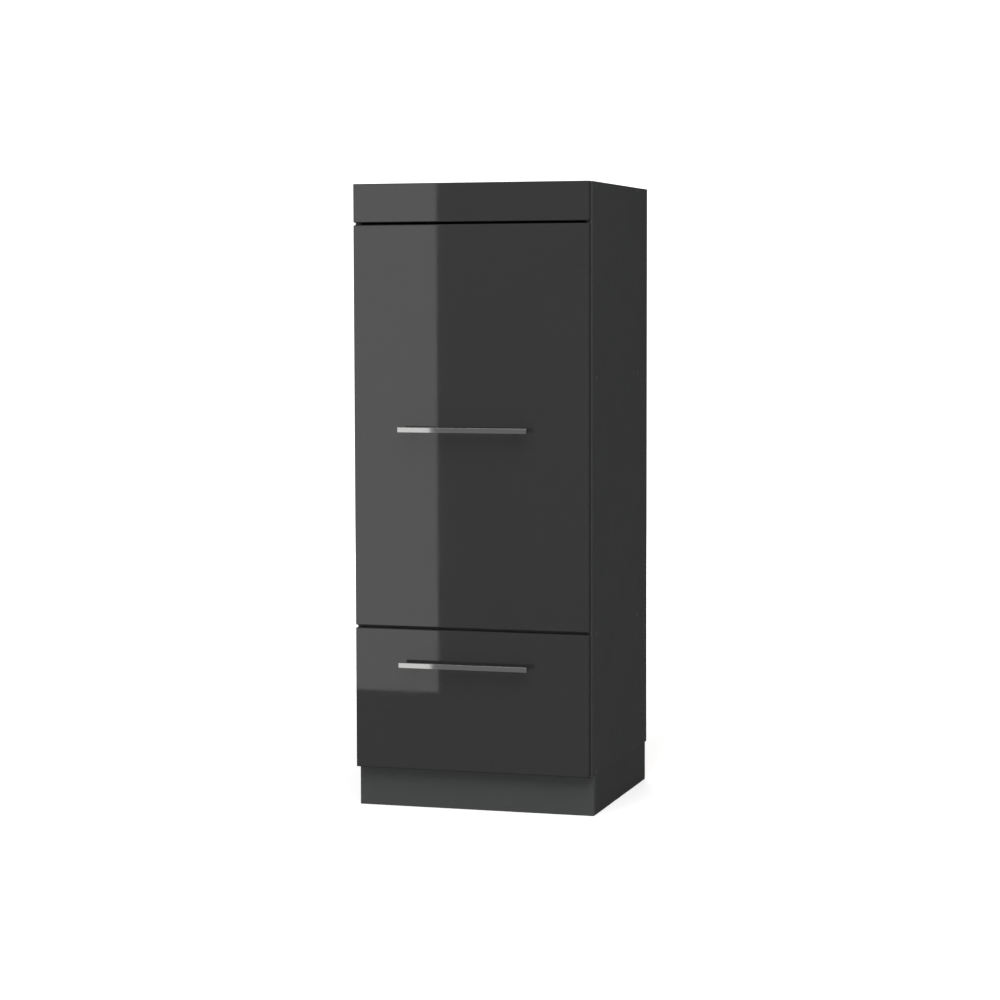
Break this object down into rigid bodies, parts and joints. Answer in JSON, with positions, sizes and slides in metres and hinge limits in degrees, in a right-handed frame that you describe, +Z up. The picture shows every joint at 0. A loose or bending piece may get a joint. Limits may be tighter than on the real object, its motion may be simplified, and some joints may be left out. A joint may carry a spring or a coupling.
{
  "type": "tall kitchen cabinet",
  "caption": "Tall kitchen cabinet with gloss anthracite fronts, a hinged door over a pull-out drawer on roller runners, bar handles, inner shelves and a recessed plinth.",
  "frame": {"origin": "on the floor under the middle of the bounding box", "axes": "+X to the right as the fronts are seen, +Y to the back, +Z up"},
  "size_m": [0.6, 0.616, 1.535],
  "materials": {
    "front_gloss": "high-gloss anthracite foil on fibreboard",
    "carcass_board": "fine-grained matt anthracite melamine on chipboard",
    "plinth_board": "fine-grained matt anthracite melamine on chipboard",
    "back_hardboard": "hardboard, anthracite inside and bare behind",
    "raw_wood": "bare planed softwood",
    "handle_steel": "brushed steel",
    "nickel_steel": "nickel-plated pressed steel",
    "zinc_screw": "zinc-plated steel",
    "cap_plastic": "matt anthracite plastic",
    "bumper_rubber": "soft grey elastomer",
    "runner_enamel": "silver-grey powder-coated steel",
    "drawer_board": "light grey melamine on chipboard",
    "nylon": "natural white nylon"
  },
  "bodies": {
    "carcass": {"back_panel": "back_hardboard", "bottom_panel": "carcass_board", "drawer_divider": "carcass_board", "fascia_bracket_screws": "zinc_screw", "fascia_brackets": "zinc_screw", "fixed_shelf": "carcass_board", "hinge_arm_lower": "nickel_steel", "hinge_arm_middle": "nickel_steel", "hinge_arm_screws": "zinc_screw", "hinge_arm_upper": "nickel_steel", "hinge_plate_screws": "zinc_screw", "hinge_plates": "nickel_steel", "housing_screws": "zinc_screw", "left_side_panel": "carcass_board", "lower_shelf": "carcass_board", "plinth_back": "plinth_board", "plinth_blocks": "raw_wood", "plinth_front": "plinth_board", "plinth_left": "plinth_board", "plinth_right": "plinth_board", "right_side_panel": "carcass_board", "runner_rail_left": "runner_enamel", "runner_rail_right": "runner_enamel", "runner_screws": "zinc_screw", "screw_caps": "cap_plastic", "shelf_pins": "nickel_steel", "top_fascia": "front_gloss", "top_panel": "carcass_board", "upper_shelf": "carcass_board", "wall_rail": "carcass_board"},
    "door": {"door_bumpers": "bumper_rubber", "door_handle_bar": "handle_steel", "door_handle_posts": "handle_steel", "door_handle_screws": "zinc_screw", "door_panel": "front_gloss", "hinge_cup_lower": "nickel_steel", "hinge_cup_middle": "nickel_steel", "hinge_cup_screws": "zinc_screw", "hinge_cup_upper": "nickel_steel", "hinge_pins": "nickel_steel"},
    "drawer": {"drawer_back": "drawer_board", "drawer_back_brackets": "runner_enamel", "drawer_bracket_screws": "zinc_screw", "drawer_bumpers": "bumper_rubber", "drawer_floor": "drawer_board", "drawer_front": "front_gloss", "drawer_front_brackets": "runner_enamel", "drawer_handle_bar": "handle_steel", "drawer_handle_posts": "handle_steel", "drawer_handle_screws": "zinc_screw", "drawer_side_left": "runner_enamel", "drawer_side_right": "runner_enamel", "gallery_sockets": "nylon", "gallery_tubes": "runner_enamel"},
    "drawer_roller_left": {"drawer_roller_left": "nylon"},
    "drawer_roller_right": {"drawer_roller_right": "nylon"},
    "rail_roller_left": {"rail_roller_left": "nylon"},
    "rail_roller_right": {"rail_roller_right": "nylon"}
  },
  "joints": [
    {"name": "door_hinge", "type": "hinge", "parent": "carcass", "child": "door", "pos_m": [-0.29, -0.2625, 0.944], "axis": [0, 0, -1], "range_deg": [0, 100]},
    {"name": "drawer_slide", "type": "slide", "parent": "carcass", "child": "drawer", "axis": [0, -1, 0], "range_m": [0, 0.38]},
    {"name": "drawer_roller_left_spin", "type": "hinge", "parent": "drawer", "child": "drawer_roller_left", "pos_m": [-0.2764, 0.232, 0.1425], "axis": [1, 0, 0], "range_deg": [0, 2421]},
    {"name": "drawer_roller_right_spin", "type": "hinge", "parent": "drawer", "child": "drawer_roller_right", "pos_m": [0.2764, 0.232, 0.1425], "axis": [1, 0, 0], "range_deg": [0, 2421]},
    {"name": "rail_roller_left_spin", "type": "hinge", "parent": "carcass", "child": "rail_roller_left", "pos_m": [-0.2764, -0.233, 0.144], "axis": [1, 0, 0], "range_deg": [0, 2421]},
    {"name": "rail_roller_right_spin", "type": "hinge", "parent": "carcass", "child": "rail_roller_right", "pos_m": [0.2764, -0.233, 0.144], "axis": [1, 0, 0], "range_deg": [0, 2421]}
  ],
  "couplings": [
    {"joint": "drawer_roller_left_spin", "follows": "drawer_slide", "rad_per_m": 111.11},
    {"joint": "drawer_roller_right_spin", "follows": "drawer_slide", "rad_per_m": 111.11},
    {"joint": "rail_roller_left_spin", "follows": "drawer_slide", "rad_per_m": 111.11},
    {"joint": "rail_roller_right_spin", "follows": "drawer_slide", "rad_per_m": 111.11}
  ]
}
